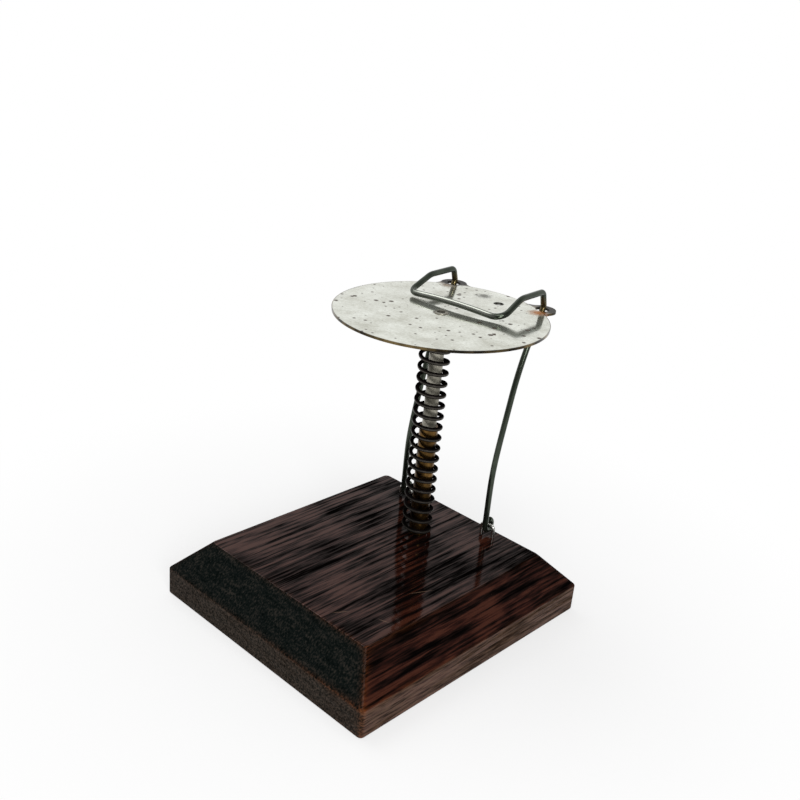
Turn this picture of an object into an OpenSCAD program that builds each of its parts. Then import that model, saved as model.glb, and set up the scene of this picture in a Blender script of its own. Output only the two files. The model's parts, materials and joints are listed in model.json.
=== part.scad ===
// Desk filing spindle: a spring plate guards a fixed spike, and a hinged wire bail holds the papers down.
// Millimetres, +Z up. The origin is the middle of the block's underside, and the front is at -Y.

/* [Wooden block] */
// Width of the block, left to right
base_w = 101.6; // [80:0.1:140]
// Depth of the block, front to rear
base_d = 110.8; // [100:0.1:150]
// Height of the block
base_h = 22.2; // [20:0.1:36]
// Height of the upright sides below the bevel
base_side_h = 10.4; // [4:0.1:16]
// How far the bevel leads in from each side
base_bevel = 11.1; // [4:0.1:13]
// Radius of the block's four upright corners
base_corner_r = 1.5; // [0.5:0.1:4]
// Depth of the round recess under the block
recess_depth = 6; // [5.2:0.1:8]

/* [Spindle] */
// Distance of the spindle in front of the block's rear edge
spindle_rear = 34.4; // [32:0.1:50]
// Turn of the plate and bail about the spindle, seen from above, in degrees
mechanism_turn = 5; // [-10:0.5:10]
// Diameter of the spike
spike_d = 2.4; // [1.6:0.1:3.2]
// Length of the spike's tapered point
spike_taper = 18; // [8:0.5:30]
// How far the point stays below the top of the plunger at rest
spike_guard = 0.5; // [0.2:0.1:3]
// Wall of the sliding plunger tube
plunger_wall = 1.1; // [0.7:0.05:1.5]
// Wall of the fixed guide tube
guide_wall = 0.73; // [0.5:0.01:1.2]
// Height of the guide tube above the block
guide_h = 43.5; // [36:0.5:50]
// Clearance round the spike inside the plunger
spike_clearance = 0.3; // [0.2:0.05:0.6]
// Radial running clearance between plunger and guide
slide_clearance = 0.07; // [0.03:0.01:0.1]
// Radial clearance of pieces that are driven into one another
seat_clearance = 0.02; // [0.01:0.01:0.05]

/* [Spike fixing] */
// Length of the plug inside the guide tube
plug_length = 10; // [6:0.5:13]
// How far the plug's flange reaches past the guide tube
plug_flange_out = 1.6; // [1:0.1:2.5]
// Thickness of the plug's flange
plug_flange_t = 1.6; // [1:0.1:1.8]
// How far the spike's collar stands out from the spike
collar_out = 0.9; // [0.5:0.1:1.2]
// Thickness of the spike's collar
collar_t = 1.5; // [1:0.1:3]
// Outside diameter of the washer
washer_d = 11; // [9:0.5:14]
// Thickness of the washer
washer_t = 0.8; // [0.5:0.1:1]
// Width of the nut across its flats
nut_flats = 5.5; // [5:0.1:7]
// Thickness of the nut
nut_t = 1.8; // [1.2:0.1:2]
// How far the spike's end stands out of the nut
spike_tail = 0.4; // [0.2:0.1:0.6]
// Room between the washer and the wall of the recess
recess_room = 1.5; // [0.5:0.1:4]

/* [Plate] */
// Diameter of the plate
plate_d = 75.4; // [66:0.1:84]
// Thickness of the plate's sheet metal
plate_t = 0.9; // [0.6:0.05:1.6]
// Height of the plate's underside above the block, at rest
plate_h = 85.2; // [80:0.1:100]
// How far the plate can be pressed down
stroke = 32; // [24:0.5:36]
// Room left under the plunger when the plate is pressed fully down
stop_gap = 0.3; // [0.2:0.1:1]
// Wall of the plunger's neck where it passes through the plate
neck_wall = 0.5; // [0.4:0.05:0.65]
// How far the neck is riveted over the plate
rivet_out = 0.5; // [0.3:0.05:0.9]
// Height of the riveted lip above the plate
rivet_h = 0.35; // [0.2:0.05:0.6]
// Angle of each ear from the rear of the plate, in degrees
ear_angle = 30; // [26:0.5:36]
// How far the centre of an ear lies outside the plate's edge
ear_out = 1.8; // [0:0.1:3]
// Metal left round the hole in an ear
ear_rim = 2.4; // [2:0.1:3.4]
// Clearance round the bail's wire in an ear
ear_clearance = 1.45; // [1.35:0.05:1.7]
// Radius of the fillet between an ear and the plate's edge
ear_fillet_r = 4; // [1:0.5:8]
// Diameter of the small hole in the plate
side_hole_d = 3.4; // [2:0.1:5]
// Distance of the small hole from the spindle
side_hole_reach = 26.9; // [12:0.1:29]
// Angle of the small hole from the rear of the plate, to the right, in degrees
side_hole_angle = 13.5; // [0:0.5:14]

/* [Spring] */
// Diameter of the spring's wire
spring_wire_d = 1.45; // [0.8:0.05:1.6]
// Clearance all round between the guide tube and the inside of the spring
spring_clearance = 0.85; // [0.4:0.05:1.5]
// How far the loose spring stands to one side, as a share of its clearance
spring_lean = 0.8; // [0:0.05:0.9]
// Direction in which it stands to one side, counted from the right, in degrees
spring_lean_angle = 220; // [0:5:355]
// Number of curls in the spring
spring_turns = 20; // [12:0.5:26]
// Gap between each end of the spring and what it bears on
spring_seat_gap = 0.05; // [0.02:0.01:0.1]

/* [Bail] */
// Diameter of the bail's wire
bail_wire_d = 2.2; // [1.6:0.05:2.6]
// Distance of the hinge line behind the spindle
hinge_y = 17.2; // [15:0.1:19]
// Swing of the bail for each millimetre that the plate moves, in degrees
cam_rate = 0.44; // [0.36:0.005:0.46]
// Room between the foot eyes and the block
foot_room = 1.3; // [0.5:0.1:3]
// Clearance between a foot eye and the staple through it
eye_clearance = 0.2; // [0.1:0.05:0.4]
// How far round the staple a foot eye is bent, in degrees
eye_bend = 245; // [220:1:250]
// Share by which the upper leg is straighter than the ear's path along it; the ear's clearance takes it up
leg_straighten = 0.3; // [0:0.05:0.35]
// Length over which the lower leg leaves its upright foot
leg_ease_low = 25; // [15:0.5:28]
// Length over which the lower leg takes up the lean of the upper leg
leg_ease_high = 30; // [10:0.5:34]
// Height of the left hump above the plate
hump_left_h = 6.9; // [5:0.1:9]
// Height of the right hump above the plate
hump_right_h = 7.8; // [5:0.1:9]
// How far the left hump's rear bend lies in front of its ear
hump_left_lean = 1.1; // [0.5:0.1:4]
// How far the right hump's rear bend lies in front of its ear
hump_right_lean = 1.1; // [0.5:0.1:4]
// Length of each hump's top
hump_run = 14.2; // [8:0.1:15]
// Distance of the crossbar's left end behind the spindle
bar_left_y = 6.8; // [6:0.1:11]
// Distance of the crossbar's right end behind the spindle
bar_right_y = 7.3; // [6:0.1:11]
// Gap between the ends of the crossbar and the plate, at rest
bar_gap = 0.2; // [0.15:0.05:1]
// How far the middle of the crossbar is bowed up
bar_bow = 0.9; // [0:0.1:1.5]
// Radius of the bend above each ear
ear_bend_r = 2; // [1.5:0.1:2.4]
// Radius of the hump's rear bend
rear_bend_r = 2; // [1.5:0.1:2.4]
// Radius of the hump's front bend
front_bend_r = 9; // [2:0.5:12]
// Radius of the bend into the crossbar's left end
bar_left_bend_r = 3.4; // [2:0.1:5]
// Radius of the bend into the crossbar's right end
bar_right_bend_r = 4.6; // [2:0.1:5]

/* [Staples] */
// Diameter of the staples' wire
staple_wire_d = 1.4; // [1:0.05:1.8]
// Room on each side of the foot eye between the prongs
staple_room = 0.75; // [0.3:0.05:1]
// Radius of the bends between crown and prongs
staple_bend_r = 1.2; // [0.9:0.05:1.3]
// Depth that the prongs are driven into the block
staple_depth = 9; // [6:0.5:12]
// Length of the prongs' points
staple_point = 2; // [1:0.1:4]

/* [Hidden] */
$fn = 64;

spindle_y = base_d / 2 - spindle_rear;

// Heights from here on are above the block's top, on the spindle's axis.
plunger_bore = spike_d + 2 * spike_clearance;
plunger_d = plunger_bore + 2 * plunger_wall;
guide_bore = plunger_d + 2 * slide_clearance;
guide_d = guide_bore + 2 * guide_wall;
recess_roof_z = recess_depth - base_h;
plug_top_z = recess_roof_z + plug_length;
flange_z = recess_roof_z - plug_flange_t;
washer_z = flange_z - washer_t;
nut_z = washer_z - nut_t;
flange_d = guide_d + 2 * plug_flange_out;
recess_d = max(washer_d, flange_d) + 2 * recess_room;
plate_top_z = plate_h + plate_t;
plate_mid_z = plate_h + plate_t / 2;
plunger_foot_z = plug_top_z + collar_t + stop_gap + stroke;
plunger_top_z = plate_top_z + rivet_h;
neck_d = plunger_bore + 2 * neck_wall;
spike_tip_z = plunger_top_z - spike_guard;

plate_r = plate_d / 2;
ear_reach = plate_r + ear_out;
ear_x = ear_reach * sin(ear_angle);
ear_y = ear_reach * cos(ear_angle);
ear_hole_d = bail_wire_d + 2 * ear_clearance;
ear_r = ear_hole_d / 2 + ear_rim;

bail_r = bail_wire_d / 2;
eye_r = staple_wire_d / 2 + eye_clearance + bail_r;
hinge_z = eye_r + bail_r + foot_room;
staple_span = bail_wire_d + staple_wire_d + 2 * staple_room;
bar_z = plate_top_z + bar_gap + bail_r;
bar_mid_y = (bar_left_y + bar_right_y) / 2;
bar_skew = (bar_right_y - bar_left_y) / 2;

spring_wire_r = spring_wire_d / 2;
spring_r = guide_d / 2 + spring_clearance + spring_wire_r;
spring_middle = spring_lean * spring_clearance * [cos(spring_lean_angle), sin(spring_lean_angle), 0];

// Extra length that lets a cut pass clean through a face
cut = 1;
// How far a fillet bites into the edges it joins, so that their lines cross and don't just touch
fillet_bite = 0.03;
tube_sides = 12;
bend_steps = 6;
leg_steps = 14;
bow_steps = 6;
ease_steps = 8;
eye_steps = 16;
// Length of the upper leg past each end of the plate's travel
cam_margin = 1.3;
spring_sides = 6;
curl_rings = 8;

function unit(v) = v / norm(v);
function flip(list) = [for (i = [len(list) - 1:-1:0]) list[i]];
function from_rear(reach, angle) = [reach * sin(angle), reach * cos(angle)];

// A bend of radius r at corner b, on the way from a to c
function bend(a, b, c, r) =
    let (u = unit(a - b), v = unit(c - b), turn = 180 - acos(u * v))
    let (start = b + u * r * tan(turn / 2))
    let (out = unit(start - b - unit(u + v) * r / cos(turn / 2)), middle = start - r * out)
    [for (i = [0:bend_steps]) let (t = turn * i / bend_steps) middle + r * (cos(t) * out - sin(t) * u)];

// Directions along a path, and one sideways direction carried along it without twist
function directions(path) =
    let (last = len(path) - 1)
    [for (i = [0:last]) unit(path[min(i + 1, last)] - path[max(i - 1, 0)])];
function sideways(dirs) =
    let (pick = abs(dirs[0].z) < 0.9 ? [0, 0, 1] : [0, 1, 0])
    [for (i = 0, s = unit(cross(dirs[0], pick)); i < len(dirs);
        i = i + 1, s = i < len(dirs) ? unit(s - (s * dirs[i]) * dirs[i]) : s) s];

// Round wire of radius r along a path, closed at both ends
module wire(path, r, sides) {
    dirs = directions(path);
    side = sideways(dirs);
    points = [
        for (i = [0:len(path) - 1])
        for (j = [0:sides - 1])
        let (a = 360 * j / sides)
        path[i] + r * (cos(a) * side[i] + sin(a) * cross(dirs[i], side[i]))
    ];
    last = (len(path) - 1) * sides;
    walls = [
        for (i = [0:len(path) - 2])
        for (j = [0:sides - 1])
        let (a = i * sides + j, b = i * sides + (j + 1) % sides)
        each [[a, b + sides, b], [a, a + sides, b + sides]]
    ];
    caps = [for (j = [1:sides - 2]) each [[0, j, j + 1], [last, last + j + 1, last + j]]];
    polyhedron(points, concat(walls, caps));
}

// The frame of the plate and bail: the spindle's axis, with the block's top at zero height
module on_spindle() {
    translate([0, spindle_y, base_h]) rotate([0, 0, mechanism_turn]) children();
}

// Wooden block

module bevel_profile(span) {
    edge = span / 2;
    polygon([
        [-edge, 0], [edge, 0], [edge, base_side_h], [edge - base_bevel, base_h],
        [base_bevel - edge, base_h], [-edge, base_side_h]
    ]);
}

module block_outline() {
    square([base_w - 2 * base_corner_r, base_d], center = true);
    square([base_w, base_d - 2 * base_corner_r], center = true);
    for (x = [-1, 1])
        for (y = [-1, 1])
            translate([x * (base_w / 2 - base_corner_r), y * (base_d / 2 - base_corner_r)])
                circle(base_corner_r);
}

module base_block() {
    color("#3b1f17")
        difference() {
            intersection() {
                linear_extrude(base_h) block_outline();
                rotate([90, 0, 0]) translate([0, 0, -base_d / 2]) linear_extrude(base_d) bevel_profile(base_w);
                rotate([90, 0, 90]) translate([0, 0, -base_w / 2]) linear_extrude(base_w) bevel_profile(base_d);
            }
            on_spindle() {
                translate([0, 0, -base_h - cut])
                    cylinder(d = guide_d + 2 * seat_clearance, h = base_h + 2 * cut);
                translate([0, 0, -base_h - cut]) cylinder(d = recess_d, h = recess_depth + cut);
                for (x = [-1, 1])
                    for (prong = [-1, 1])
                        translate([x * ear_x + prong * staple_span / 2, hinge_y, -staple_depth])
                            cylinder(d = staple_wire_d + 2 * seat_clearance, h = staple_depth + cut);
            }
        }
}

// Tubes and spike

module guide_tube() {
    lip = guide_wall / 3;
    color("#8a6233")
        on_spindle()
            rotate_extrude()
                polygon([
                    [guide_bore / 2, recess_roof_z], [guide_d / 2, recess_roof_z],
                    [guide_d / 2, guide_h - lip], [guide_d / 2 - lip, guide_h], [guide_bore / 2, guide_h]
                ]);
}

module plunger_tube() {
    rivet_r = neck_d / 2 + rivet_out;
    neck_r = neck_d / 2 - seat_clearance;
    color("#8d8f8a")
        on_spindle()
            rotate_extrude()
                polygon([
                    [plunger_bore / 2, plunger_foot_z], [plunger_d / 2, plunger_foot_z],
                    [plunger_d / 2, plate_h], [neck_r, plate_h], [neck_r, plate_top_z],
                    [rivet_r, plate_top_z], [rivet_r - rivet_h / 2, plunger_top_z],
                    [plunger_bore / 2, plunger_top_z]
                ]);
}

module spike() {
    collar_r = spike_d / 2 + collar_out;
    color("#9b9c98")
        on_spindle()
            rotate_extrude()
                polygon([
                    [0, nut_z - spike_tail], [spike_d / 2, nut_z - spike_tail], [spike_d / 2, plug_top_z],
                    [collar_r, plug_top_z], [collar_r, plug_top_z + collar_t],
                    [spike_d / 2, plug_top_z + collar_t], [spike_d / 2, spike_tip_z - spike_taper],
                    [0, spike_tip_z]
                ]);
}

module spike_plug() {
    plug_r = guide_bore / 2 - seat_clearance;
    hole_r = spike_d / 2 + seat_clearance;
    color("#9a7440")
        on_spindle()
            rotate_extrude()
                polygon([
                    [hole_r, flange_z], [flange_d / 2, flange_z], [flange_d / 2, recess_roof_z],
                    [plug_r, recess_roof_z], [plug_r, plug_top_z], [hole_r, plug_top_z]
                ]);
}

module clamp_washer() {
    color("#7d7f7c")
        on_spindle()
            translate([0, 0, washer_z])
                difference() {
                    cylinder(d = washer_d, h = washer_t);
                    translate([0, 0, -cut]) cylinder(d = spike_d + 2 * seat_clearance, h = washer_t + 2 * cut);
                }
}

module clamp_nut() {
    color("#6f716e")
        on_spindle()
            translate([0, 0, nut_z])
                difference() {
                    cylinder(d = nut_flats / cos(30), h = nut_t, $fn = 6);
                    translate([0, 0, -cut]) cylinder(d = spike_d + 2 * seat_clearance, h = nut_t + 2 * cut);
                }
}

// Plate

// Middle of the fillet that leads an ear into the plate's edge, on the side given by turn
function fillet_middle(turn) =
    let (near = plate_r + ear_fillet_r, far = ear_r + ear_fillet_r)
    let (swing = acos((ear_reach * ear_reach + near * near - far * far) / (2 * ear_reach * near)))
    from_rear(near, ear_angle + turn * swing);

// An ear with the corners that its fillets are cut from
module rough_ear() {
    ear = from_rear(ear_reach, ear_angle);
    translate(ear) circle(ear_r);
    polygon([from_rear(plate_r - 2 * ear_r, ear_angle), fillet_middle(1), ear, fillet_middle(-1)]);
}

module plate_outline() {
    difference() {
        union() {
            circle(plate_r);
            for (side = [0, 1])
                mirror([side, 0]) rough_ear();
        }
        for (side = [0, 1])
            mirror([side, 0])
                for (turn = [-1, 1])
                    translate(fillet_middle(turn)) circle(ear_fillet_r + fillet_bite);
    }
}

module top_plate() {
    color("#c9c6b8")
        on_spindle()
            translate([0, 0, plate_h])
                difference() {
                    linear_extrude(plate_t) plate_outline();
                    translate([0, 0, -cut]) {
                        cylinder(d = neck_d, h = plate_t + 2 * cut);
                        translate(from_rear(side_hole_reach, side_hole_angle))
                            cylinder(d = side_hole_d, h = plate_t + 2 * cut);
                        for (x = [-1, 1])
                            translate([x * ear_x, ear_y]) cylinder(d = ear_hole_d, h = plate_t + 2 * cut);
                    }
                }
}

// Spring

// Left-hand helix from the block up to the plate
function spring_path() =
    let (rings = ceil(spring_turns * curl_rings), foot = spring_seat_gap + spring_wire_r)
    let (rise = plate_h - 2 * foot)
    [for (i = [0:rings]) let (t = i / rings, a = 90 - 360 * spring_turns * t)
        spring_middle + [spring_r * cos(a), spring_r * sin(a), foot + rise * t]];

// Least gap between rings that lie half a curl or more apart
function spring_gap(path) =
    min([for (i = [0:len(path) - 1]) for (j = [i + curl_rings / 2:len(path) - 1])
        norm(path[i] - path[j])]) - spring_wire_d;

module spring() {
    path = spring_path();
    echo("spring: least gap to itself, mm", spring_gap(path));
    color("#2b2a28") on_spindle() wire(path, spring_wire_r, spring_sides);
}

// Bail

// Points of the right leg are [y, z] from the hinge line. The ear's path along the leg is where the ear's
// centre lies, turned back by the swing that goes with the plate's travel, so the ear follows the leg.
ear_dy = ear_y - hinge_y;
ear_dz = plate_mid_z - hinge_z;
function ear_path(travel) =
    let (a = cam_rate * travel, drop = ear_dz - travel)
    [ear_dy * cos(a) - drop * sin(a), ear_dy * sin(a) + drop * cos(a)];
// The upper leg lies between that path and the straight line through its ends
function leg_point(travel) =
    let (path = ear_path(travel), top = ear_path(0), line = top + (ear_path(stroke) - top) * travel / stroke)
    path + leg_straighten * (line - path);
function upper_leg() =
    [for (i = [0:leg_steps]) leg_point((stroke + cam_margin) * (1 - i / leg_steps))];
// Curve from the front of the eye, where the wire stands upright, to the lower end of the upper leg
function lower_leg(top, lead) =
    let (low = [-eye_r, 0], rise = low + [0, leg_ease_low], lean = top - lead * leg_ease_high)
    [for (i = [0:ease_steps - 1]) let (t = i / ease_steps, s = 1 - t)
        s * s * s * low + 3 * s * s * t * rise + 3 * s * t * t * lean + t * t * t * top];
function eye() =
    [for (i = [0:eye_steps - 1]) let (a = 180 + eye_bend * (1 - i / eye_steps)) eye_r * [cos(a), sin(a)]];
function leg() =
    let (upper = upper_leg(), lead = unit(upper[1] - upper[0]))
    concat(eye(), lower_leg(upper[0], lead), upper);

function in_bail(x, p) = [x, hinge_y + p.x, hinge_z + p.y];
// One side of the bail, from its eye up over its hump to the end of the crossbar
function bail_side(x, hump_h, hump_lean, bar_y, bar_bend_r) =
    let (low = [for (p = leg()) in_bail(x, p)], hump_z = plate_top_z + hump_h - bail_r)
    let (ear = in_bail(x, leg_point(-cam_margin)), rear = [x, ear_y - hump_lean, hump_z])
    let (front = rear - [0, hump_run, 0], bar = [x, bar_y, bar_z], middle = [0, bar_mid_y, bar_z + 2 * bar_bow])
    concat(
        low, bend(low[len(low) - 1], ear, rear, ear_bend_r), bend(ear, rear, front, rear_bend_r),
        bend(rear, front, bar, front_bend_r), bend(front, bar, middle, bar_bend_r)
    );
// The crossbar between its end bends: a parabola whose ends point at the bends
function crossbar() =
    [for (i = [0:bow_steps]) let (share = 0.7 * (2 * i / bow_steps - 1))
        [share * ear_x, bar_mid_y + share * bar_skew, bar_z + bar_bow * (1 - share * share)]];

module bail_wire() {
    left = bail_side(-ear_x, hump_left_h, hump_left_lean, bar_left_y, bar_left_bend_r);
    right = bail_side(ear_x, hump_right_h, hump_right_lean, bar_right_y, bar_right_bend_r);
    path = concat(left, crossbar(), flip(right));
    color("#3a3d38") on_spindle() wire(path, bail_r, tube_sides);
}

// Staples

// One half of a staple: half the crown, a bend and a pointed prong
module staple_half() {
    crown = staple_span / 2 - staple_bend_r;
    prong = hinge_z - staple_bend_r + staple_depth - staple_point;
    rotate([0, 90, 0]) cylinder(d = staple_wire_d, h = crown);
    translate([crown, 0, -staple_bend_r])
        rotate([90, 0, 0])
            rotate_extrude(angle = 90)
                translate([staple_bend_r, 0]) circle(d = staple_wire_d);
    translate([staple_span / 2, 0, -staple_bend_r - prong]) {
        cylinder(d = staple_wire_d, h = prong);
        translate([0, 0, -staple_point]) cylinder(d1 = 0, d2 = staple_wire_d, h = staple_point);
    }
}

module staple(x) {
    color("#a9aaa5")
        on_spindle()
            translate([x, hinge_y, hinge_z]) {
                staple_half();
                mirror([1, 0, 0]) staple_half();
            }
}

module staple_left() {
    staple(-ear_x);
}

module staple_right() {
    staple(ear_x);
}

base_block();
guide_tube();
plunger_tube();
top_plate();
spring();
bail_wire();
staple_left();
staple_right();
spike();
spike_plug();
clamp_washer();
clamp_nut();
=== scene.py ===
import json
import math

import bpy
import numpy as np
from mathutils import Matrix, Vector


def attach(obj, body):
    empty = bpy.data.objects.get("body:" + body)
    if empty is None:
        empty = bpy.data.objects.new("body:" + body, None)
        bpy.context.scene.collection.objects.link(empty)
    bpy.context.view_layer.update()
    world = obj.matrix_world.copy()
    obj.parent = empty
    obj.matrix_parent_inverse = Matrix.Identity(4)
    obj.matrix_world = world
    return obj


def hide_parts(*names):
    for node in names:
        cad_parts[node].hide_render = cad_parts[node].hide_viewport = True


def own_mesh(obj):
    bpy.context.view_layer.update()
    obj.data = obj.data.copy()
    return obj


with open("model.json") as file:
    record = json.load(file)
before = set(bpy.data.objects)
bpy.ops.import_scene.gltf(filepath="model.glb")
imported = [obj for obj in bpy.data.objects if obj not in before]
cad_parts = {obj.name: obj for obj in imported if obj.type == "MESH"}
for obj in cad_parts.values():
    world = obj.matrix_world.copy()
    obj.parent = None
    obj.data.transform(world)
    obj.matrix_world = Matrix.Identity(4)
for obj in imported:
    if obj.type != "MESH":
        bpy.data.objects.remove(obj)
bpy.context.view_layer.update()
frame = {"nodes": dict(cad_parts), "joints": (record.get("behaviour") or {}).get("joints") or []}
nodes = frame["nodes"]
mm = 0.001
print("frame loaded:", len(nodes), "pieces of hardware")


# Small helpers; the settings below are those that many nodes share

rgbMix = {"data_type": "RGBA"}
smoothStep = {"interpolation_type": "SMOOTHSTEP"}
multiply = {"operation": "MULTIPLY"}
multiplyAdd = {"operation": "MULTIPLY_ADD"}
maximum = {"operation": "MAXIMUM"}
vectorLength = {"operation": "LENGTH"}
distance = {"operation": "DISTANCE"}


def hexLinear(code):
    # sRGB hex to linear, the standard two-part curve
    c = np.array([int(code[i:i + 2], 16) for i in (1, 3, 5)]) / 255
    low = c / 12.92
    high = ((c + 0.055) / 1.055) ** 2.4
    return (*np.where(c <= 0.04045, low, high), 1.0)


def addNode(tree, kind, settings=None, **inputs):
    # Settings go on the node itself, and "stops" are (place, hex) pairs of a ramp;
    # an input is a value or the socket that feeds it, by its name or as i and its number
    node = tree.nodes.new(kind)
    for key, value in (settings or {}).items():
        if key != "stops":
            setattr(node, key, value)
            continue
        elements = node.color_ramp.elements
        while len(elements) < len(value):
            elements.new(1.0)
        for element, (place, code) in zip(elements, value):
            element.position = place
            element.color = hexLinear(code)
    for key, value in inputs.items():
        name = key.replace("_", " ")
        numbered = name[0] == "i" and name[1:].isdigit()
        socket = node.inputs[int(name[1:]) if numbered else name]
        if isinstance(value, bpy.types.NodeSocket):
            tree.links.new(value, socket)
        else:
            socket.default_value = value
    return node.outputs


def newMaterial(name):
    material = bpy.data.materials.new(name)
    material.use_nodes = True
    tree = material.node_tree
    tree.nodes.clear()
    return material, tree


def unit(v):
    return v / np.linalg.norm(v, axis=-1, keepdims=True)


def gridQuads(rows, columns, closeRows):
    # Columns always run round; rows run round too where closeRows is true
    last = rows if closeRows else rows - 1
    i, j = np.meshgrid(np.arange(last), np.arange(columns), indexing="ij")
    i2, j2 = (i + 1) % rows, (j + 1) % columns
    corners = [i * columns + j, i * columns + j2, i2 * columns + j2, i2 * columns + j]
    return np.stack(corners, -1).reshape(-1, 4)


def makePiece(name, points, quads, caps, material, body, replaced):
    # The signed volume of the quads tells which way they face
    a, b, c, d = (points[quads[:, k]] for k in range(4))
    volume = np.sum(np.cross(a, b) * c) + np.sum(np.cross(a, c) * d)
    faces = quads.tolist() + caps
    if volume < 0:
        faces = [face[::-1] for face in faces]
    mesh = bpy.data.meshes.new(name)
    mesh.from_pydata(points.tolist(), [], faces)
    mesh.polygons.foreach_set("use_smooth", np.ones(len(faces), bool))
    mesh.materials.append(material)
    mesh.update()
    piece = bpy.data.objects.new(name, mesh)
    bpy.context.scene.collection.objects.link(piece)
    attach(piece, body)
    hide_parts(*replaced)
    return piece


def paintPoints(piece, name, values):
    # One value for each point, which a material reads as an attribute
    attribute = piece.data.attributes.new(name, "FLOAT", "POINT")
    attribute.data.foreach_set("value", values.astype(np.float32))


def bendArc(a, b, c, radius, steps):
    # An arc that leaves the line from a and joins the line to c, with its corner at b
    u, v = unit(a - b), unit(c - b)
    turn = np.pi - np.arccos(np.clip(u @ v, -1, 1))
    start = b + u * radius * np.tan(turn / 2)
    middle = b + unit(u + v) * radius / np.cos(turn / 2)
    out = unit(start - middle)
    t = np.linspace(0, turn, steps)[:, None]
    return middle + radius * (np.cos(t) * out - np.sin(t) * u)


def sweepTube(path, reference, radius, sides):
    # Circles of the given radius square to the path, turned so that one spoke follows the reference;
    # both ends are drawn in over three rings, so that a cut end has a rounded edge
    along = unit(np.gradient(path, axis=0))
    spoke = unit(reference - np.sum(reference * along, -1, keepdims=True) * along)
    third = np.cross(along, spoke)
    angle = np.linspace(0, 2 * np.pi, sides, endpoint=False)[None, :, None]
    circle = np.cos(angle) * spoke[:, None, :] + np.sin(angle) * third[:, None, :]
    tilt, edge = np.radians([30, 60, 80]), 0.35
    shrink, reach = np.cos(tilt) * edge + 1 - edge, np.sin(tilt) * edge
    tail = path[-1] + along[-1] * radius * reach[:, None]
    head = path[0] - along[0] * radius * reach[::-1, None]
    middle = path[:, None, :] + radius * circle
    top = tail[:, None, :] + radius * shrink[:, None, None] * circle[-1]
    low = head[:, None, :] + radius * shrink[::-1, None, None] * circle[0]
    rings = np.concatenate([low, middle, top])
    quads = gridQuads(len(rings), sides, False)
    first = list(range(sides))
    final = [(len(rings) - 1) * sides + k for k in first]
    return rings.reshape(-1, 3), quads, [first[::-1], final]


# Spindle frame: the plate and bail are turned a little on the block. Heights other than the block's
# top are above that top, and the ears are where the bail's legs go through the plate

pressJoint, swingJoint = frame["joints"]
hinge = np.array(swingJoint["pos_m"]) / mm
stroke = pressJoint["range_m"][1] / mm
spindle = {
    "y": 21.0, "turn": 5.0, "blockTop": 22.2, "plateUnder": 85.2, "plateTop": 86.1,
    "earX": 19.75, "earY": 34.208,
}


def onSpindle(points):
    # Turned about the spindle's axis, then set on the block's top, in metres
    a = math.radians(spindle["turn"])
    turn = np.array([[math.cos(a), math.sin(a), 0], [-math.sin(a), math.cos(a), 0], [0, 0, 1]])
    return (points @ turn + np.array([0, spindle["y"], spindle["blockTop"]])) * mm


def platePlace(point):
    return tuple(onSpindle(np.array([*point, spindle["plateTop"]])))


# Camera, at the photograph's viewing angle

cameraSet = {
    "eye": (214.28, -232.6, 212.4),
    "back": (0.6196, -0.6847, 0.3838),
    "up": (-0.3259, 0.2203, 0.9194),
    "lens": 45.32, "sensor": 36, "nearest": 0.01,
}
camera = bpy.data.objects.new("camera", bpy.data.cameras.new("camera"))
bpy.context.scene.collection.objects.link(camera)
backAxis = Vector(cameraSet["back"]).normalized()
rightAxis = Vector(cameraSet["up"]).cross(backAxis).normalized()
upAxis = backAxis.cross(rightAxis)
turnMatrix = Matrix((rightAxis, upAxis, backAxis)).transposed().to_4x4()
camera.matrix_world = Matrix.Translation(Vector(cameraSet["eye"]) * mm) @ turnMatrix
camera.data.lens = cameraSet["lens"]
camera.data.sensor_width = cameraSet["sensor"]
camera.data.clip_start = cameraSet["nearest"]
bpy.context.scene.camera = camera
print("camera placed")


# Materials, with their patterns in millimetres

oakSet = {
    # Noises: size across and along the grain, and how much of one goes into another
    "streak": (0.85, 24.0), "pore": (0.36, 4.0), "ring": (0.7, 5.0), "ringTilt": 0.3, "mottle": 22.0,
    "noiseScale": 0.6, "poreShare": 0.3, "mottleShare": 0.45, "ringShare": 0.5,
    "streakRange": (0.7, 1.06), "speckleRange": (0.5, 1.0),
    "longGrain": [(0.0, "#040303"), (0.35, "#130a08"), (0.7, "#28110c"), (1.0, "#3e2016")],
    "endGrain": [(0.0, "#050807"), (0.5, "#0e1312"), (1.0, "#2b2824")],
    # Lighter sides: dust, and painted light
    "dust": "#6b5342", "dustAndLightRange": (0.35, 0.65), "dustAndLightShare": (0.3, 1.7),
    # Scratches: middle x and y, turn in degrees and half length
    "scratches": ((29.1, -8.3, 65.0, 5.2), (20.7, -37.4, 60.0, 3.6), (33.0, -30.0, 20.0, 2.4)),
    "scratch": "#8a6f5a", "scratchWidth": 0.16, "scratchDepth": 3.0, "scratchEdge": (1.0, 0.4),
    "scratchShare": 0.5,
    "bare": "#74401f", "bareRange": (0.35, 0.6),
    "roughness": (0.75, 0.5), "relief": 0.1, "woodBump": 0.3, "filmBump": 0.08, "filmRoughness": 0.06,
}


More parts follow.
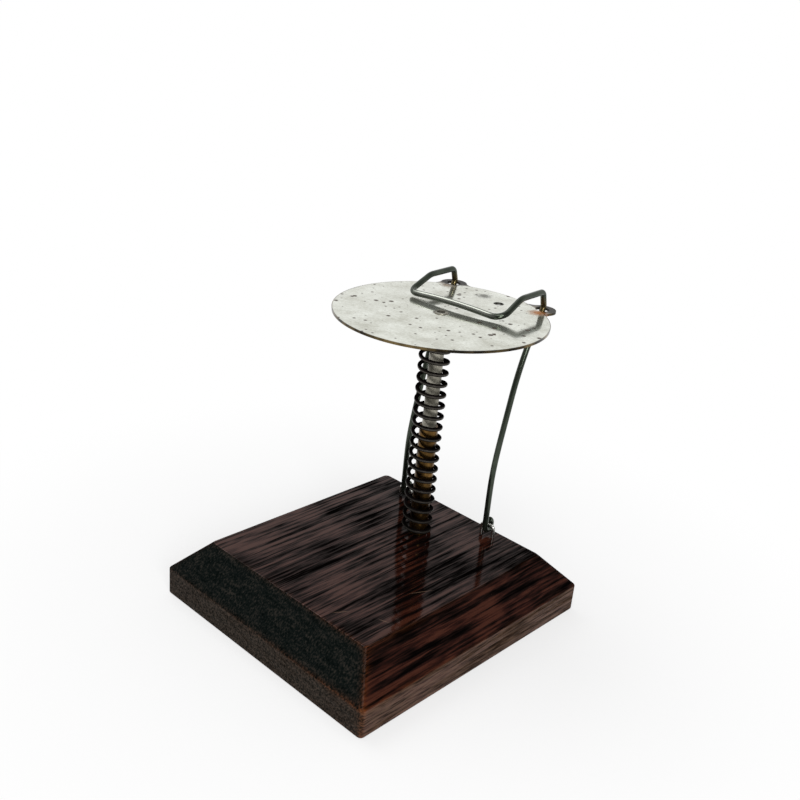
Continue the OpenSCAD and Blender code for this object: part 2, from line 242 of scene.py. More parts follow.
def varnishedOak():
    # Dark stained oak, planed and varnished: the film lies on red-brown streaks along the grain (Y) and
    # breaks over the black open pores between them, the end grain is a nearly black speckle, the sides
    # are lighter, partly dust and partly painted light, a few scratches go through the film and bare
    # orange wood shows where the arrises are rubbed
    o = oakSet
    material, tree = newMaterial("varnishedOak")
    place = addNode(tree, "ShaderNodeTexCoord")["Object"]
    wide, long = (1 / (v * mm) for v in o["streak"])
    fine, short = (1 / (v * mm) for v in o["pore"])
    thin, broad = (1 / (v * mm) for v in o["ring"])
    streakPlace = addNode(tree, "ShaderNodeMapping", Vector=place, Scale=(wide, long, wide))[0]
    porePlace = addNode(tree, "ShaderNodeMapping", Vector=place, Scale=(fine, short, fine))[0]
    ringPlace = addNode(tree, "ShaderNodeMapping", Vector=place, Rotation=(0, o["ringTilt"], 0),
                        Scale=(broad, 1, thin))[0]
    streak = addNode(tree, "ShaderNodeTexNoise", Vector=streakPlace, Scale=o["noiseScale"], Detail=3.0,
                     Roughness=0.6, Distortion=0.3)[0]
    pore = addNode(tree, "ShaderNodeTexNoise", Vector=porePlace, Scale=o["noiseScale"], Detail=2.0,
                   Roughness=0.6)[0]
    ring = addNode(tree, "ShaderNodeTexNoise", Vector=ringPlace, Scale=o["noiseScale"], Detail=2.0)[0]
    mottle = addNode(tree, "ShaderNodeTexNoise", Vector=place, Scale=1 / (o["mottle"] * mm),
                     Detail=1.0)[0]
    endGrain, wear, film, dust = (
        addNode(tree, "ShaderNodeAttribute", {"attribute_name": name})["Fac"]
        for name in ("endGrain", "wear", "film", "dust")
    )
    # Streaks with broken edges on the long grain, pores and faint growth rings on the end grain
    longGrain = streak
    for noise, share in ((pore, o["poreShare"]), (mottle, o["mottleShare"])):
        longGrain = addNode(tree, "ShaderNodeMath", multiplyAdd, i0=noise, i1=share, i2=longGrain)[0]
    low, high = o["streakRange"]
    longGrain = addNode(tree, "ShaderNodeMapRange", smoothStep, Value=longGrain, i1=low, i2=high)[0]
    speckle = addNode(tree, "ShaderNodeMath", multiplyAdd, i0=ring, i1=o["ringShare"], i2=pore)[0]
    low, high = o["speckleRange"]
    speckle = addNode(tree, "ShaderNodeMapRange", Value=speckle, i1=low, i2=high)[0]
    grain = addNode(tree, "ShaderNodeMix", i0=endGrain, i2=longGrain, i3=speckle)[0]
    longColour = addNode(tree, "ShaderNodeValToRGB", {"stops": o["longGrain"]}, Fac=longGrain)[0]
    endColour = addNode(tree, "ShaderNodeValToRGB", {"stops": o["endGrain"]}, Fac=speckle)[0]
    colour = addNode(tree, "ShaderNodeMix", rgbMix, i0=endGrain, i6=longColour, i7=endColour)[2]
    # Over the wood's own colour lie dust with painted light on the sides, then the scratches, each a long
    # thin ellipse, then bare wood
    low, high = o["dustAndLightRange"]
    least, most = o["dustAndLightShare"]
    dustAndLightMask = addNode(tree, "ShaderNodeMapRange", Value=pore, i1=low, i2=high, i3=least, i4=most)[0]
    dustAndLightMask = addNode(tree, "ShaderNodeMath", multiply, i0=dust, i1=dustAndLightMask)[0]
    layers = [(dustAndLightMask, o["dust"])]
    edge, full = o["scratchEdge"]
    for x, y, turn, reach in o["scratches"]:
        local = addNode(tree, "ShaderNodeMapping", {"vector_type": "TEXTURE"}, Vector=place,
                        Location=(x * mm, y * mm, spindle["blockTop"] * mm),
                        Rotation=(0, 0, math.radians(turn)),
                        Scale=(reach * mm, o["scratchWidth"] * mm, o["scratchDepth"] * mm))[0]
        away = addNode(tree, "ShaderNodeVectorMath", vectorLength, i0=local)["Value"]
        scratch = addNode(tree, "ShaderNodeMapRange", Value=away, i1=edge, i2=full, i3=0.0,
                          i4=o["scratchShare"])[0]
        layers.append((scratch, o["scratch"]))
    low, high = o["bareRange"]
    bare = addNode(tree, "ShaderNodeMapRange", Value=pore, i1=low, i2=high)[0]
    bare = addNode(tree, "ShaderNodeMath", multiply, i0=wear, i1=bare)[0]
    layers.append((bare, o["bare"]))
    for mask, code in layers:
        colour = addNode(tree, "ShaderNodeMix", rgbMix, i0=mask, i6=colour, i7=hexLinear(code))[2]
    gloss = addNode(tree, "ShaderNodeMath", multiply, i0=film, i1=grain)[0]
    dull, smooth = o["roughness"]
    rough = addNode(tree, "ShaderNodeMapRange", Value=grain, i3=dull, i4=smooth)[0]
    depth, filmDepth = (
        addNode(tree, "ShaderNodeBump", Strength=o[name], Distance=o["relief"] * mm, Height=grain)[0]
        for name in ("woodBump", "filmBump")
    )
    shader = addNode(tree, "ShaderNodeBsdfPrincipled", Base_Color=colour, Roughness=rough, IOR=1.5,
                     Specular_IOR_Level=0.0, Normal=depth, Coat_Weight=gloss,
                     Coat_Roughness=o["filmRoughness"], Coat_IOR=1.5, Coat_Normal=filmDepth)
    addNode(tree, "ShaderNodeOutputMaterial", Surface=shader[0])
    return material


plateSet = {
    "radius": 37.7, "rimInset": (0.35, 0.1), "rim": [(0.42, "#201c16"), (0.6, "#6a5b3d")],
    "cloud": 9.0, "grit": 0.9, "gritShare": 0.6, "hazeRange": (0.5, 1.15), "haze": ("#b4b4a6", "#ecefe6"),
    "pitSpacing": 3.6, "pitPatch": 16.0, "pitChance": (0.17, 0.6), "pitSize": 0.32, "pitDepth": 0.02,
    "pitEdge": (0.0, 0.1), "pitDullEdge": (0.08, 0.18), "pit": "#43362a", "pitBump": 0.25,
    "roughness": (0.13, 0.08), "dullRoughness": 0.3, "metallic": (0.85, 0.1), "specular": 0.1,
    # Stains and painted shade: middle, reach of the full colour and of its edge, raggedness, colour
    "stainsAndShade": (
        ((-2.6, 29.6), 0.6, 4.2, 3.0, "#777770"),  # smudge
        ((-19.4, 29.6), 0.2, 4.6, 3.0, "#8d7c68"),  # rust in front of the left ear
        ((21.2, 29.0), 0.4, 5.0, 3.0, "#a86c3a"),  # rust in front of the right ear
        # Ears nearly black: tarnish, and painted shade of their holes
        ((-20.6, 36.0), 4.6, 6.6, 3.0, "#1b1813"),  # left ear
        ((21.4, 37.0), 4.2, 5.8, 3.0, "#2c2a23"),  # right ear
        # Dark round the spike's hole: rust, and a painted shadow line round the rivet's lip
        ((0, 0), 2.5, 3.1, 0.6, "#2e2418"),  # spike's hole
        # Dark round the small hole: painted shade
        ((6.28, 26.16), 1.7, 2.1, 0.3, "#25231f"),  # small hole
    ),
}


def dulledNickel():
    # Nickel plate on sheet steel, once polished: still a dull mirror, clouded and pitted with brown
    # specks, nearly black on the ears with tarnish and painted shade of their holes, rusty in front of
    # those holes, with painted shade round the spike's hole and the small hole, and rubbed through to
    # brass at the rim
    p = plateSet
    material, tree = newMaterial("dulledNickelPlate")
    place = addNode(tree, "ShaderNodeTexCoord")["Object"]
    cloud = addNode(tree, "ShaderNodeTexNoise", Vector=place, Scale=1 / (p["cloud"] * mm), Detail=3.0,
                    Roughness=0.55)[0]
    grit = addNode(tree, "ShaderNodeTexNoise", Vector=place, Scale=1 / (p["grit"] * mm), Detail=2.0)[0]
    haze = addNode(tree, "ShaderNodeMath", multiplyAdd, i0=grit, i1=p["gritShare"], i2=cloud)[0]
    low, high = p["hazeRange"]
    haze = addNode(tree, "ShaderNodeMapRange", Value=haze, i1=low, i2=high)[0]
    dark, light = (hexLinear(code) for code in p["haze"])
    colour = addNode(tree, "ShaderNodeMix", rgbMix, i0=haze, i6=dark, i7=light)[2]
    # Pits: the middles of some cells, more of them in some patches than in others
    cell = addNode(tree, "ShaderNodeTexVoronoi", {"voronoi_dimensions": "2D"}, Vector=place,
                   Scale=1 / (p["pitSpacing"] * mm))
    patch = addNode(tree, "ShaderNodeTexNoise", Vector=place, Scale=1 / (p["pitPatch"] * mm))[0]
    chance = addNode(tree, "ShaderNodeSeparateColor", Color=cell["Color"])[0]
    chance = addNode(tree, "ShaderNodeMath", multiply, i0=chance, i1=patch)[0]
    low, high = p["pitChance"]
    size = addNode(tree, "ShaderNodeMapRange", Value=chance, i1=low, i2=high, i3=0.0, i4=p["pitSize"])[0]
    inside = addNode(tree, "ShaderNodeMath", {"operation": "SUBTRACT"}, i0=size, i1=cell["Distance"])[0]
    dull, pit = (
        addNode(tree, "ShaderNodeMapRange", Value=inside, i1=low, i2=high)[0]
        for low, high in (p["pitDullEdge"], p["pitEdge"])
    )
    colour = addNode(tree, "ShaderNodeMix", rgbMix, i0=pit, i6=colour, i7=hexLinear(p["pit"]))[2]
    # The rim, by distance from the spindle's axis
    axis = addNode(tree, "ShaderNodeMapping", Vector=place, Location=(0, -spindle["y"] * mm, 0),
                   Scale=(1, 1, 0))[0]
    reach = addNode(tree, "ShaderNodeVectorMath", vectorLength, i0=axis)["Value"]
    inner, outer = ((p["radius"] - inset) * mm for inset in p["rimInset"])
    rim = addNode(tree, "ShaderNodeMapRange", Value=reach, i1=inner, i2=outer)[0]
    rimColour = addNode(tree, "ShaderNodeValToRGB", {"stops": p["rim"]}, Fac=cloud)[0]
    colour = addNode(tree, "ShaderNodeMix", rgbMix, i0=rim, i6=colour, i7=rimColour)[2]
    # Stains, and painted shade at the ears and holes, laid over in turn
    for middle, full, edge, ragged, code in p["stainsAndShade"]:
        away = addNode(tree, "ShaderNodeVectorMath", distance, i0=place, i1=platePlace(middle))["Value"]
        away = addNode(tree, "ShaderNodeMath", multiplyAdd, i0=grit, i1=ragged * mm, i2=away)[0]
        stainAndShade = addNode(tree, "ShaderNodeMapRange", smoothStep, Value=away,
                        i1=(edge + ragged / 2) * mm, i2=(full + ragged / 2) * mm)[0]
        colour = addNode(tree, "ShaderNodeMix", rgbMix, i0=stainAndShade, i6=colour, i7=hexLinear(code))[2]
        dull = addNode(tree, "ShaderNodeMath", maximum, i0=dull, i1=stainAndShade)[0]
    low, high = p["roughness"]
    rough = addNode(tree, "ShaderNodeMapRange", Value=haze, i3=low, i4=high)[0]
    rough = addNode(tree, "ShaderNodeMath", multiplyAdd, i0=dull, i1=p["dullRoughness"], i2=rough)[0]
    clean, stained = p["metallic"]
    bare = addNode(tree, "ShaderNodeMapRange", Value=dull, i3=clean, i4=stained)[0]
    depth = addNode(tree, "ShaderNodeBump", Strength=p["pitBump"], Distance=p["pitDepth"] * mm,
                    Height=pit)[0]
    shader = addNode(tree, "ShaderNodeBsdfPrincipled", Base_Color=colour, Metallic=bare, Roughness=rough,
                     Specular_IOR_Level=p["specular"], Normal=depth)
    addNode(tree, "ShaderNodeOutputMaterial", Surface=shader[0])
    return material


# Colour of the lighter line, partly rubbed bare and partly a painted highlight, and where it turns fully
# metallic
metalSet = {"patchRange": (0.32, 0.68), "rubbed": "#a8a298", "wearAndHighlightFull": 0.2}


def metal(name, tones, size, roughness, metallic, specular):
    # Two tones mixed by a noise of the given size in millimetres, which also dulls the metal in patches;
    # oxide on it makes it less metallic and less shiny, except where a piece is marked with a lighter
    # line, partly rubbed bare and partly a painted highlight
    material, tree = newMaterial(name)
    place = addNode(tree, "ShaderNodeTexCoord")["Object"]
    patch = addNode(tree, "ShaderNodeTexNoise", Vector=place, Scale=1 / (size * mm), Detail=3.0)[0]
    low, high = metalSet["patchRange"]
    spread = addNode(tree, "ShaderNodeMapRange", Value=patch, i1=low, i2=high)[0]
    dark, light, wearAndHighlightTone = (hexLinear(code) for code in (*tones, metalSet["rubbed"]))
    colour = addNode(tree, "ShaderNodeMix", rgbMix, i0=spread, i6=dark, i7=light)[2]
    # Lighter line: rubbed bare, and a painted highlight
    rubbed = addNode(tree, "ShaderNodeAttribute", {"attribute_name": "rubbed"})["Fac"]
    colour = addNode(tree, "ShaderNodeMix", rgbMix, i0=rubbed, i6=colour, i7=wearAndHighlightTone)[2]
    smooth, dull = roughness
    rough = addNode(tree, "ShaderNodeMapRange", Value=spread, i3=dull, i4=smooth)[0]
    bare = addNode(tree, "ShaderNodeMapRange", Value=rubbed, i2=metalSet["wearAndHighlightFull"], i3=metallic,
                   i4=1.0)[0]
    shader = addNode(tree, "ShaderNodeBsdfPrincipled", Base_Color=colour, Roughness=rough, Metallic=bare,
                     Specular_IOR_Level=specular)
    addNode(tree, "ShaderNodeOutputMaterial", Surface=shader[0])
    return material


wireSet = {
    # Tones, the lighter colour of the crossbar's band (partly rubbed, partly a painted highlight), rust
    "patch": 5.0, "tones": ("#1f241f", "#4d5449"), "rubbed": "#c2c5bb",
    "rust": "#6a5a36", "rustReach": (5.5, 1.5), "rustShare": 0.7,
    "patchRange": (0.3, 0.7), "roughness": (0.24, 0.12), "metallic": 0.85, "specular": 0.25,
}


def wornAndHighlightedWire():
    # Drawn steel wire, oiled and darkened to a green grey, a little rusty where it goes through the ears
    # and lighter along the top of the crossbar, partly rubbed where papers slide under and over it and
    # partly a painted highlight
    w = wireSet
    material, tree = newMaterial("darkenedSteelWire")
    place = addNode(tree, "ShaderNodeTexCoord")["Object"]
    patch = addNode(tree, "ShaderNodeTexNoise", Vector=place, Scale=1 / (w["patch"] * mm), Detail=3.0)[0]
    dark, light = (hexLinear(code) for code in w["tones"])
    colour = addNode(tree, "ShaderNodeMix", rgbMix, i0=patch, i6=dark, i7=light)[2]
    edge, full = (reach * mm for reach in w["rustReach"])
    for x in (-spindle["earX"], spindle["earX"]):
        ear = platePlace((x, spindle["earY"]))
        away = addNode(tree, "ShaderNodeVectorMath", distance, i0=place, i1=ear)["Value"]
        rust = addNode(tree, "ShaderNodeMapRange", Value=away, i1=edge, i2=full, i3=0.0,
                       i4=w["rustShare"])[0]
        colour = addNode(tree, "ShaderNodeMix", rgbMix, i0=rust, i6=colour, i7=hexLinear(w["rust"]))[2]
    # The crossbar's lighter band: rubbed, and a painted highlight
    rubbed = addNode(tree, "ShaderNodeAttribute", {"attribute_name": "rubbed"})["Fac"]
    colour = addNode(tree, "ShaderNodeMix", rgbMix, i0=rubbed, i6=colour, i7=hexLinear(w["rubbed"]))[2]
    low, high = w["patchRange"]
    dull, smooth = w["roughness"]
    rough = addNode(tree, "ShaderNodeMapRange", Value=patch, i1=low, i2=high, i3=dull, i4=smooth)[0]
    shader = addNode(tree, "ShaderNodeBsdfPrincipled", Base_Color=colour, Roughness=rough,
                     Metallic=w["metallic"], Specular_IOR_Level=w["specular"])
    addNode(tree, "ShaderNodeOutputMaterial", Surface=shader[0])
    return material


oak = varnishedOak()
nickel = dulledNickel()
darkWire = wornAndHighlightedWire()
# Blued spring wire, lighter along the outside: rubbed bare, and a painted highlight
springWire = metal("blackenedSpringWire", ("#060505", "#120e0e"), 6.0, (0.2, 0.28), 0.0, 0.0)
# Drawn brass tube, brown with age
brass = metal("agedBrass", ("#140c06", "#7f6034"), 4.0, (0.22, 0.34), 0.95, 0.1)
# Drawn steel tube, dulled
greySteel = metal("greySteelTube", ("#57544a", "#a29e91"), 4.0, (0.25, 0.4), 0.55, 0.2)
# Drawn steel wire, still bright
brightSteel = metal("brightDrawnSteel", ("#9a9a94", "#d6d6d1"), 3.0, (0.2, 0.35), 1.0, 0.5)
print("materials made")


# Wooden block

blockSet = {
    "size": (101.6, 110.8, spindle["blockTop"]), "side": 10.4, "bevel": 11.1, "corner": 1.5,
    "cornerGrowth": 0.25, "arris": (0.8, 0.9, 0.7), "arrisSteps": 6, "margin": 6.0,
    "bore": 3.42, "recess": 7.0, "recessDepth": 6.0, "broken": 0.15, "perCorner": 7,
    # Where rings and columns lie: near the arrises, over the flats and along the sides
    "near": (0.5, 1.2, 2.6), "flatRings": 7, "flatCrowding": 1.4,
    "along": (0.004, 0.01, 0.02, 0.04, *np.linspace(0.08, 0.92, 22), 0.96, 0.98, 0.99, 0.996),
    # Rubbed wood: reach and strength at the arrises and the hips, and how it fades from the front right
    "rubReach": (0.6, 0.9), "rubStrength": (0.5, 0.6), "rubFar": 0.1, "rubFade": 24.0,
    # Film, and dust with painted light, against how far a face looks up, and what the end grain takes off
    # them
    "film": ((0.0, 0.55, 0.8, 1.0), (0.38, 0.1, 0.12, 0.5)), "filmLoss": 0.5,
    "dust": ((0.1, 0.5), (0.28, 0.0)), "dustLoss": 0.6,
    "endGrainFrom": 0.3, "endGrainOver": 0.3,
}


def roundedRectangle(inset, radius):
    # Four corner arcs joined by straight runs; each ring has its corners at the same places
    halfX, halfY = blockSet["size"][0] / 2 - inset, blockSet["size"][1] / 2 - inset
    turn = np.linspace(0, np.pi / 2, blockSet["perCorner"])
    signs = [(1, 1), (-1, 1), (-1, -1), (1, -1)]
    arcs = [
        np.stack([sx * (halfX - radius) + radius * np.cos(turn + k * np.pi / 2),
                  sy * (halfY - radius) + radius * np.sin(turn + k * np.pi / 2)], -1)
        for k, (sx, sy) in enumerate(signs)
    ]
    share = np.array(blockSet["along"])[:, None]
    runs = [arcs[k][-1] * (1 - share) + arcs[(k + 1) % 4][0] * share for k in range(4)]
    return np.concatenate([np.concatenate([arcs[k], runs[k]]) for k in range(4)])


def woodenBlock():
    # Rings from the bore's top edge over the top, the bevel and the side, under the block to the recess
    # and back up the bore, so the surface closes on itself round the bore
    b = blockSet
    height, side, bevel, margin = b["size"][2], b["side"], b["bevel"], b["margin"]
    corners = np.array([[bevel + margin, height], [bevel, height], [0, side], [0, 0], [margin, 0]], float)
    arcs = [bendArc(*corners[k:k + 3], b["arris"][k], b["arrisSteps"]) for k in range(3)]
    near = np.array(b["near"])[:, None]
    ends = [corners[:1], *arcs, corners[-1:]]
    line = [corners[:1]]
    for here, there in zip(ends[:-1], ends[1:]):
        # Extra points close to the arrises at both ends of a straight part, so that rubbed wood stays
        # narrow
        way = unit(there[0] - here[-1])
        line += [here[-1] + near * way, there[0] - near[::-1] * way, there]
    line = np.concatenate(line)
    perRing = (len(b["along"]) + b["perCorner"]) * 4
    radii = b["corner"] + b["cornerGrowth"] * line[:, 0] / bevel
    outer = np.stack([
        np.column_stack([roundedRectangle(inset, radius), np.full(perRing, z)])
        for (inset, z), radius in zip(line, radii)
    ])
    centre = np.array([0, spindle["y"]])
    heading = unit(outer[0, :, :2] - centre)

    def circle(radius, z):
        return np.column_stack([centre + radius * heading, np.full(len(heading), z)])

    # Every edge of the bore and the recess is broken a little, with one more ring where it meets the flat
    bore, recess, depth, edge = (b[k] for k in ("bore", "recess", "recessDepth", "broken"))
    share = np.linspace(0, 1, b["flatRings"] + 2)[1:-1, None, None] ** b["flatCrowding"]
    inner = [circle(bore + edge, height), circle(bore + 3 * edge, height)]
    under = [circle(recess + reach * edge, lift * edge) for reach, lift in ((3, 0), (1, 0), (0, 1))]
    inside = [
        (recess, depth - edge), (recess - edge, depth), (recess - 3 * edge, depth),
        (bore + 3 * edge, depth), (bore + edge, depth), (bore, depth + edge), (bore, height - edge),
    ]
    topRings = inner[-1] * (1 - share) + outer[0] * share
    lowRings = outer[-1] * (1 - share) + under[0] * share
    hollow = [circle(*place) for place in inside]
    rings = np.concatenate([inner, topRings, outer, lowRings, under, hollow])
    quads = gridQuads(len(rings), rings.shape[1], True)
    points = rings.reshape(-1, 3) * mm
    piece = makePiece("wooden_block", points, quads, [], oak, "base", ["base_block"])
    # Rubbed wood fades within a millimetre of the arrises and of the four hips, and is strongest at the
    # front right
    half = np.array(b["size"][:2]) / 2
    toArris = np.min(np.linalg.norm(line[:, None] - corners[None, 1:4], axis=-1), axis=1)
    toHip = np.linalg.norm(np.abs(outer[..., :2]) - (half - line[:, None, :1]), axis=-1)
    arris = np.exp(-toArris / b["rubReach"][0])[:, None]
    hip = np.exp(-toHip / b["rubReach"][1]) * (line[:, 1:] < height)
    far = np.linalg.norm(outer[..., :2] - np.array([1, -1]) * half, axis=-1)
    fade = b["rubFar"] + (1 - b["rubFar"]) * np.exp(-far / b["rubFade"])
    wear = np.zeros(rings.shape[:2])
    start = len(inner) + len(topRings)
    wear[start:start + len(outer)] = (b["rubStrength"][0] * arris + b["rubStrength"][1] * hip) * fade
    normal = np.empty(len(piece.data.vertices) * 3, np.float32)
    piece.data.vertices.foreach_get("normal", normal)
    normal = normal.reshape(-1, 3)
    endGrain = np.clip((np.abs(normal[:, 1]) - b["endGrainFrom"]) / b["endGrainOver"], 0, 1)
    paintPoints(piece, "wear", np.clip(wear.ravel(), 0, 1))
    paintPoints(piece, "endGrain", endGrain)
    # Film, and the sides' dust with painted light, by how far each point's face looks up
    for name in ("film", "dust"):
        paintPoints(piece, name, np.interp(normal[:, 2], *b[name]) * (1 - b[name + "Loss"] * endGrain))


woodenBlock()
print("wooden block made")


# Wire bail

bailSet = {
    "wire": 2.2, "staple": 1.4, "eyeGap": 0.2, "eyeBend": 245.0, "swingRate": 0.44, "legMargin": 1.3,
    "straighten": 0.3, "easeLow": 25.0, "easeHigh": 30.0, "run": 14.2, "barGap": 0.2, "barBow": 0.9,
    "left": {"hump": 6.9, "lean": 1.1, "barY": 6.8, "barBend": 3.4},
    "right": {"hump": 7.8, "lean": 1.1, "barY": 7.3, "barBend": 4.6},
    "bends": (2.0, 2.0, 9.0), "sides": 24, "eyeRings": 40, "easeRings": 20, "legRings": 40,
    "bendRings": 12, "barRings": 25, "barSpan": 0.7,
    # Point that one spoke of every circle turns away from
    "inside": (0, 20, 60),
    # Lighter band on the crossbar, partly rubbed and partly a painted highlight: strength, angle above
    # the front and its spread, and how it ends short of the bends
    "rubbed": 0.75, "wearAndHighlightAngle": 42.0, "wearAndHighlightSpread": 38.0, "wearAndHighlightEnd": 0.92, "wearAndHighlightEndFade": 0.2,
}
hingeY = math.hypot(hinge[0], hinge[1] - spindle["y"])
hingeZ = hinge[2] - spindle["blockTop"]
barMiddle = (bailSet["left"]["barY"] + bailSet["right"]["barY"]) / 2
barSkew = (bailSet["right"]["barY"] - bailSet["left"]["barY"]) / 2
barHeight = spindle["plateTop"] + bailSet["barGap"] + bailSet["wire"] / 2


def earPath(travel):
    # Where the ear's centre lies, seen from the bail as it swings back with the plate's travel
    a = np.radians(bailSet["swingRate"] * travel)
    over = spindle["earY"] - hingeY
    drop = (spindle["plateUnder"] + spindle["plateTop"]) / 2 - hingeZ - travel
    return np.stack([over * np.cos(a) - drop * np.sin(a), over * np.sin(a) + drop * np.cos(a)], -1)


def upperLeg(travel):
    # Between the ear's path and the straight line through the path's two ends
    path, share = earPath(travel), travel[:, None] / stroke
    line = earPath(np.array([0.0])) * (1 - share) + earPath(np.array([stroke])) * share
    return path + bailSet["straighten"] * (line - path)


def bailSide(x, side):
    # Eye round the staple, hollow lower leg, upper leg, hump and the bend into the crossbar
    b = bailSet
    radius = b["wire"] / 2
    eyeRadius = b["staple"] / 2 + b["eyeGap"] + radius
    top = upperLeg(np.linspace(stroke + b["legMargin"], 0, b["legRings"]))
    lead = unit(top[1] - top[0])
    turn = np.radians(180 + b["eyeBend"] * np.linspace(1, 0, b["eyeRings"])[:-1])
    eye = eyeRadius * np.stack([np.cos(turn), np.sin(turn)], -1)
    t = np.linspace(0, 1, b["easeRings"])[:-1, None]
    low = np.array([-eyeRadius, 0.0])
    easePoints = [low, low + [0, b["easeLow"]], top[0] - lead * b["easeHigh"], top[0]]
    weights = [(1 - t) ** 3, 3 * (1 - t) ** 2 * t, 3 * (1 - t) * t ** 2, t ** 3]
    leg = np.concatenate([eye, sum(w * p for w, p in zip(weights, easePoints)), top])

    def inBail(p):
        return np.column_stack([np.full(len(p), x), hingeY + p[:, 0], hingeZ + p[:, 1]])

    low = inBail(leg)
    ear = inBail(upperLeg(np.array([-b["legMargin"]])))[0]
    rear = np.array([x, spindle["earY"] - side["lean"], spindle["plateTop"] + side["hump"] - radius])
    front = rear - [0, b["run"], 0]
    bar = np.array([x, side["barY"], barHeight])
    middle = np.array([0, barMiddle, barHeight + 2 * b["barBow"]])
    line = [low[-1], ear, rear, front, bar, middle]
    radii = [*b["bends"], side["barBend"]]
    bends = [bendArc(*line[k:k + 3], radii[k], b["bendRings"]) for k in range(4)]
    return np.concatenate([low, *bends])


def wireBail():
    # One wire: the left side, the crossbar bowed up in a parabola, and the right side taken backwards
    b, earX = bailSet, spindle["earX"]
    share = np.linspace(-b["barSpan"], b["barSpan"], b["barRings"])
    bow = barHeight + b["barBow"] * (1 - share ** 2)
    bar = np.column_stack([share * earX, barMiddle + share * barSkew, bow])
    path = np.concatenate([bailSide(-earX, b["left"]), bar, bailSide(earX, b["right"])[::-1]])
    points, quads, caps = sweepTube(path, path - np.array(b["inside"]), b["wire"] / 2, b["sides"])
    piece = makePiece("wire_bail", onSpindle(points), quads, caps, darkWire, "bail",
                      ["bail_wire"])
    # Lighter along the crossbar, on the side that faces up and forward: rubbed, and a painted highlight
    across = points[:, 0] / earX
    forward = points[:, 1] - barMiddle - across * barSkew
    upward = points[:, 2] - barHeight - b["barBow"] * (1 - across ** 2)
    side = np.degrees(np.arctan2(upward, -forward))
    ends = np.clip((b["wearAndHighlightEnd"] - np.abs(across)) / b["wearAndHighlightEndFade"], 0, 1)
    onBar = (np.hypot(forward, upward) < b["wire"]) * ends
    rubbed = onBar * b["rubbed"] * np.exp(-((side - b["wearAndHighlightAngle"]) / b["wearAndHighlightSpread"]) ** 2)
    paintPoints(piece, "rubbed", rubbed)


wireBail()
print("wire bail made")


# Coil spring

springSet = {
    "wire": 1.45, "radius": 4.975, "turns": 20.0, "seat": 0.05, "aside": 0.68, "asideAngle": 220.0,
    # Then the lighter outer line, rubbed bare and a painted highlight: its strength and spread
    "ringsPerTurn": 40, "sides": 18, "rubbed": 0.18, "wearAndHighlightSpread": 0.32,
}


def coilSpring():
    # Left-hand helix that rises evenly from the block to the plate, standing a little to one side of the
    # tube and starting at the rear
    s = springSet
    t = np.linspace(0, 1, int(s["turns"] * s["ringsPerTurn"]) + 1)
    angle = np.pi / 2 - 2 * np.pi * s["turns"] * t
    foot = s["seat"] + s["wire"] / 2
    spoke = np.column_stack([np.cos(angle), np.sin(angle), np.zeros(len(t))])
    lean = math.radians(s["asideAngle"])
    middle = s["aside"] * np.array([math.cos(lean), math.sin(lean), 0])
    rise = np.outer(foot + (spindle["plateUnder"] - 2 * foot) * t, [0, 0, 1])
    path = middle + s["radius"] * spoke + rise
    points, quads, caps = sweepTube(path, spoke, s["wire"] / 2, s["sides"])
    piece = makePiece("coil_spring", onSpindle(points), quads, caps, springWire, "base",
                      ["spring"])
    # Lighter along the outermost line of the coils: rubbed bare, and a painted highlight
    side = np.linspace(0, 2 * np.pi, s["sides"], endpoint=False)
    rubbed = s["rubbed"] * np.exp(-((np.abs(np.pi - side) - np.pi) / s["wearAndHighlightSpread"]) ** 2)
    paintPoints(piece, "rubbed", np.resize(rubbed, len(points)))
    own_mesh(piece)


coilSpring()
print("coil spring made")


# Hardware that keeps its own shape

finishes = {
    "top_plate": nickel, "plunger_tube": greySteel, "guide_tube": brass, "spike": greySteel,
    "spike_plug": brass, "staple_left": brightSteel, "staple_right": brightSteel,
    "clamp_washer": brightSteel, "clamp_nut": brightSteel,
}
for name, material in finishes.items():
    nodes[name].data.materials.clear()
    nodes[name].data.materials.append(material)
print("hardware finished")


# Floor, world and lamps, in metres

stageSet = {
    # Floor: half its width, its tone, where it fades to white and how white it is near the object
    "reach": 6.0, "tone": 0.92, "fade": (0.05, 0.2), "near": 0.6,
    # World: the light on matt surfaces, where the ceiling starts and what it leaves for them and for
    # mirrors, the way to the backdrop, where it turns into the room and how bright the room is
    "surround": 0.8, "horizon": (0.35, 0.7), "ceiling": (0.35, 0.8),
    "backdrop": (-0.67, 0.74, 0.0), "turn": (-0.3, 0.25), "room": 0.22,
    # Lamps: place, size and power, all aimed at one point
    "aim": (0, 0, 0.05),
    "lamps": {
        "keyLamp": ((0.85, -0.45, 0.5), 0.35, 5.0),
        "leftLamp": ((-0.55, 0.0, 0.85), 0.6, 2.5),
        "topLamp": ((0.25, -0.35, 0.95), 0.35, 2.0),
    },
}


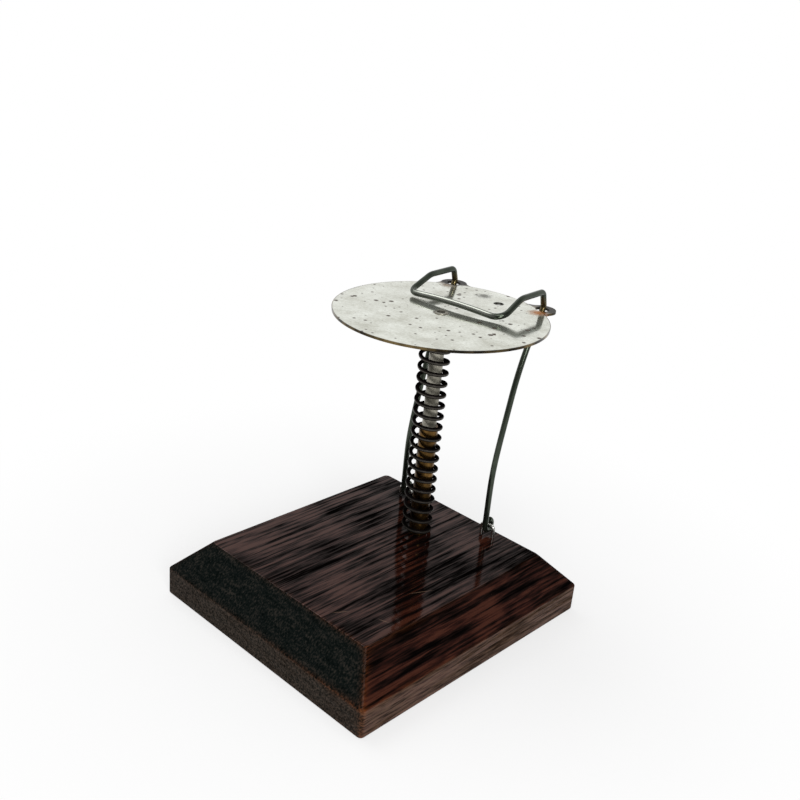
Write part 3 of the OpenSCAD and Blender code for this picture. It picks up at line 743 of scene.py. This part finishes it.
def paleFloor():
    # Pale and shaded round the object; further off it fades to the white of the background
    s = stageSet
    material, tree = newMaterial("paleFloor")
    place = addNode(tree, "ShaderNodeTexCoord")["Object"]
    away = addNode(tree, "ShaderNodeVectorMath", vectorLength, i0=place)["Value"]
    start, end = s["fade"]
    fade = addNode(tree, "ShaderNodeMapRange", smoothStep, Value=away, i1=start, i2=end, i3=s["near"])[0]
    ray = addNode(tree, "ShaderNodeLightPath")
    seen = ray["Is Camera Ray"]
    for kind in ("Is Glossy Ray", "Is Transmission Ray"):
        seen = addNode(tree, "ShaderNodeMath", maximum, i0=seen, i1=ray[kind])[0]
    white = addNode(tree, "ShaderNodeMath", multiply, i0=fade, i1=seen)[0]
    tone = s["tone"]
    matt = addNode(tree, "ShaderNodeBsdfDiffuse", Color=(tone, tone, tone, 1))[0]
    glow = addNode(tree, "ShaderNodeEmission", Color=(1, 1, 1, 1), Strength=1.0)[0]
    mixed = addNode(tree, "ShaderNodeMixShader", i0=white, i1=matt, i2=glow)[0]
    addNode(tree, "ShaderNodeOutputMaterial", Surface=mixed)
    mesh = bpy.data.meshes.new("floor")
    reach = s["reach"]
    corners = [(-reach, -reach, 0), (reach, -reach, 0), (reach, reach, 0), (-reach, reach, 0)]
    mesh.from_pydata(corners, [], [(0, 1, 2, 3)])
    mesh.materials.append(material)
    floor = bpy.data.objects.new("floor", mesh)
    bpy.context.scene.collection.objects.link(floor)


def whiteWorld():
    # White to the camera. Reflections see the white backdrop behind the object, a slightly greyer ceiling
    # and the dim room on the near side; matt surfaces get a soft light that is weaker from above
    s = stageSet
    world = bpy.data.worlds.new("whiteWorld")
    world.use_nodes = True
    tree = world.node_tree
    tree.nodes.clear()
    ray = addNode(tree, "ShaderNodeLightPath")
    heading = addNode(tree, "ShaderNodeTexCoord")["Generated"]
    height = addNode(tree, "ShaderNodeSeparateXYZ", Vector=heading)[2]
    low, high = s["horizon"]
    soft, mirrored = (
        addNode(tree, "ShaderNodeMapRange", smoothStep, Value=height, i1=low, i2=high, i3=level,
                i4=level * ceiling)[0]
        for level, ceiling in zip((s["surround"], 1.0), s["ceiling"])
    )
    behind = addNode(tree, "ShaderNodeVectorMath", {"operation": "DOT_PRODUCT"}, i0=heading,
                     i1=s["backdrop"])["Value"]
    start, end = s["turn"]
    behind = addNode(tree, "ShaderNodeMapRange", smoothStep, Value=behind, i1=start, i2=end,
                     i3=s["room"])[0]
    seen = addNode(tree, "ShaderNodeMath", maximum, i0=ray["Is Glossy Ray"],
                   i1=ray["Is Transmission Ray"])[0]
    mirrored = addNode(tree, "ShaderNodeMath", multiply, i0=mirrored, i1=behind)[0]
    level = addNode(tree, "ShaderNodeMix", i0=seen, i2=soft, i3=mirrored)[0]
    level = addNode(tree, "ShaderNodeMix", i0=ray["Is Camera Ray"], i2=level, i3=1.0)[0]
    light = addNode(tree, "ShaderNodeBackground", Color=(1, 1, 1, 1), Strength=level)[0]
    addNode(tree, "ShaderNodeOutputWorld", Surface=light)
    bpy.context.scene.world = world


def softLamp(name, place, size, power):
    lamp = bpy.data.objects.new(name, bpy.data.lights.new(name, "AREA"))
    lamp.data.size = size
    lamp.data.energy = power
    lamp.location = place
    lamp.rotation_euler = (Vector(stageSet["aim"]) - Vector(place)).to_track_quat("-Z", "Y").to_euler()
    bpy.context.scene.collection.objects.link(lamp)


paleFloor()
whiteWorld()
for name, lamp in stageSet["lamps"].items():
    softLamp(name, *lamp)
bpy.context.scene.view_settings.view_transform = "Standard"
print("stage lit")
